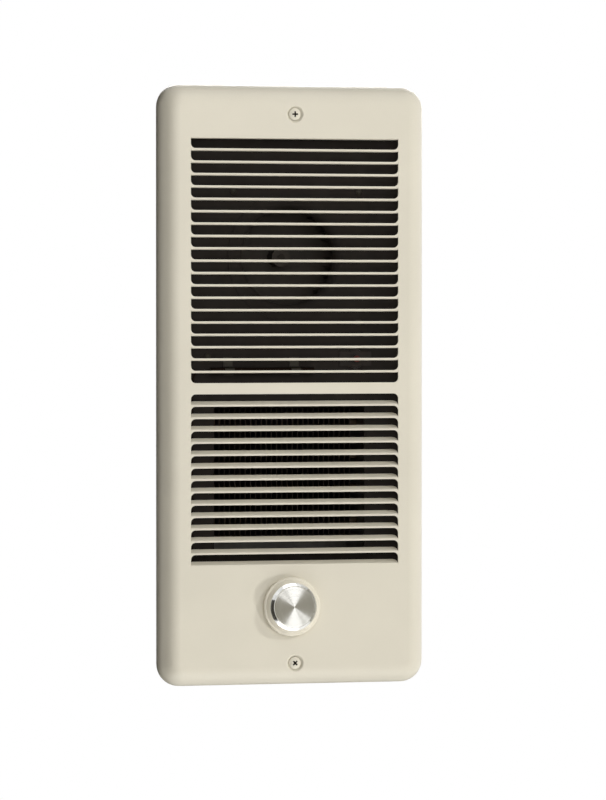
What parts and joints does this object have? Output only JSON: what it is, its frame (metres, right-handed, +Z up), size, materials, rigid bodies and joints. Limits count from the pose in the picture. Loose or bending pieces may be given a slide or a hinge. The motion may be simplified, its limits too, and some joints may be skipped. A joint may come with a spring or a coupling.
{
  "type": "recessed wall fan heater",
  "caption": "Recessed electric wall fan heater: a louvred steel cover with a round thermostat knob, over a wall box with a blower and a finned heating element.",
  "frame": {"origin": "centre of the cover's rear rim, on the finished wall", "axes": "+X to the right seen from the room, +Y into the wall, +Z up"},
  "size_m": [0.232, 0.1143, 0.505],
  "materials": {
    "cover_paint": "almond baked enamel, fine orange peel",
    "knob_plastic": "almond moulded plastic",
    "spun_aluminium": "spun aluminium with turning marks",
    "spring_steel": "blued spring steel",
    "galvanised": "galvanised sheet with spangle",
    "zinc_plated": "bright zinc plate",
    "green_screw": "green dyed zinc plate",
    "black_sheet": "matt black painted sheet",
    "wheel_paint": "dull black painted steel",
    "black_oxide": "black oxide steel",
    "ground_steel": "ground steel",
    "lamination": "stacked steel laminations",
    "nylon": "natural nylon",
    "winding": "taped copper winding",
    "die_cast": "die-cast zinc",
    "bronze": "oiled sintered bronze",
    "rubber": "soft black rubber",
    "aluminised": "aluminised steel",
    "sheath": "heat-tinted steel sheath",
    "fin_steel": "thin steel fin",
    "ceramic": "white glazed ceramic",
    "phenolic": "dark brown phenolic",
    "terminal_brass": "bare brass",
    "copper": "bare copper",
    "button_red": "red moulded plastic",
    "connector_plastic": "yellow moulded plastic",
    "lead_black_pvc": "black lead insulation",
    "lead_red_pvc": "red lead insulation",
    "lead_white_pvc": "white lead insulation",
    "lead_blue_pvc": "blue lead insulation",
    "lead_green_pvc": "green lead insulation"
  },
  "bodies": {
    "heater": {"front_cover": "cover_paint", "cover_screws": "cover_paint", "cover_brackets": "zinc_plated", "wall_box_wrap": "galvanised", "wall_box_top": "galvanised", "wall_box_bottom": "galvanised", "knockout_discs": "galvanised", "ground_screw": "green_screw", "chassis_plate": "black_sheet", "chassis_screws": "zinc_plated", "blower_inlet_ring": "black_sheet", "blower_housing": "galvanised", "motor_stator": "lamination", "motor_bobbin": "nylon", "motor_coil": "winding", "motor_brackets": "die_cast", "motor_bearings": "bronze", "motor_grommets": "rubber", "motor_screws": "zinc_plated", "motor_nuts": "zinc_plated", "heat_duct": "aluminised", "element_side_plates": "aluminised", "element_tube": "sheath", "element_fins": "fin_steel", "element_insulators": "ceramic", "element_terminals": "zinc_plated", "element_screws": "zinc_plated", "thermostat_bracket": "zinc_plated", "thermostat_screws": "zinc_plated", "thermostat_body": "phenolic", "thermostat_terminals": "terminal_brass", "thermostat_bush": "terminal_brass", "thermostat_nut": "zinc_plated", "sensing_bulb": "copper", "bulb_clips": "zinc_plated", "capillary_tube": "copper", "limit_switch": "phenolic", "limit_terminals": "terminal_brass", "wire_connectors": "connector_plastic", "lead_black": "lead_black_pvc", "leads_red": "lead_red_pvc", "lead_white": "lead_white_pvc", "motor_leads": "lead_blue_pvc", "lead_green": "lead_green_pvc"},
    "thermostat_knob": {"knob": "knob_plastic", "knob_cap": "spun_aluminium", "knob_clip": "spring_steel", "thermostat_shaft": "terminal_brass"},
    "blower_rotor": {"blower_wheel": "wheel_paint", "wheel_set_screw": "black_oxide", "motor_shaft": "ground_steel", "motor_rotor": "lamination"},
    "limit_button": {"reset_button": "button_red"}
  },
  "joints": [
    {"name": "knob_turn", "type": "hinge", "parent": "heater", "child": "thermostat_knob", "pos_m": [-0.0038, -0.0196, -0.1862], "axis": [0, -1, 0], "range_deg": [-135, 135]},
    {"name": "blower_spin", "type": "hinge", "parent": "heater", "child": "blower_rotor", "pos_m": [0, 0.045, 0.108], "axis": [0, -1, 0], "continuous": true},
    {"name": "reset_press", "type": "slide", "parent": "heater", "child": "limit_button", "axis": [0, 1, 0], "range_m": [0, 0.0015], "stiffness_N_per_m": 500}
  ]
}
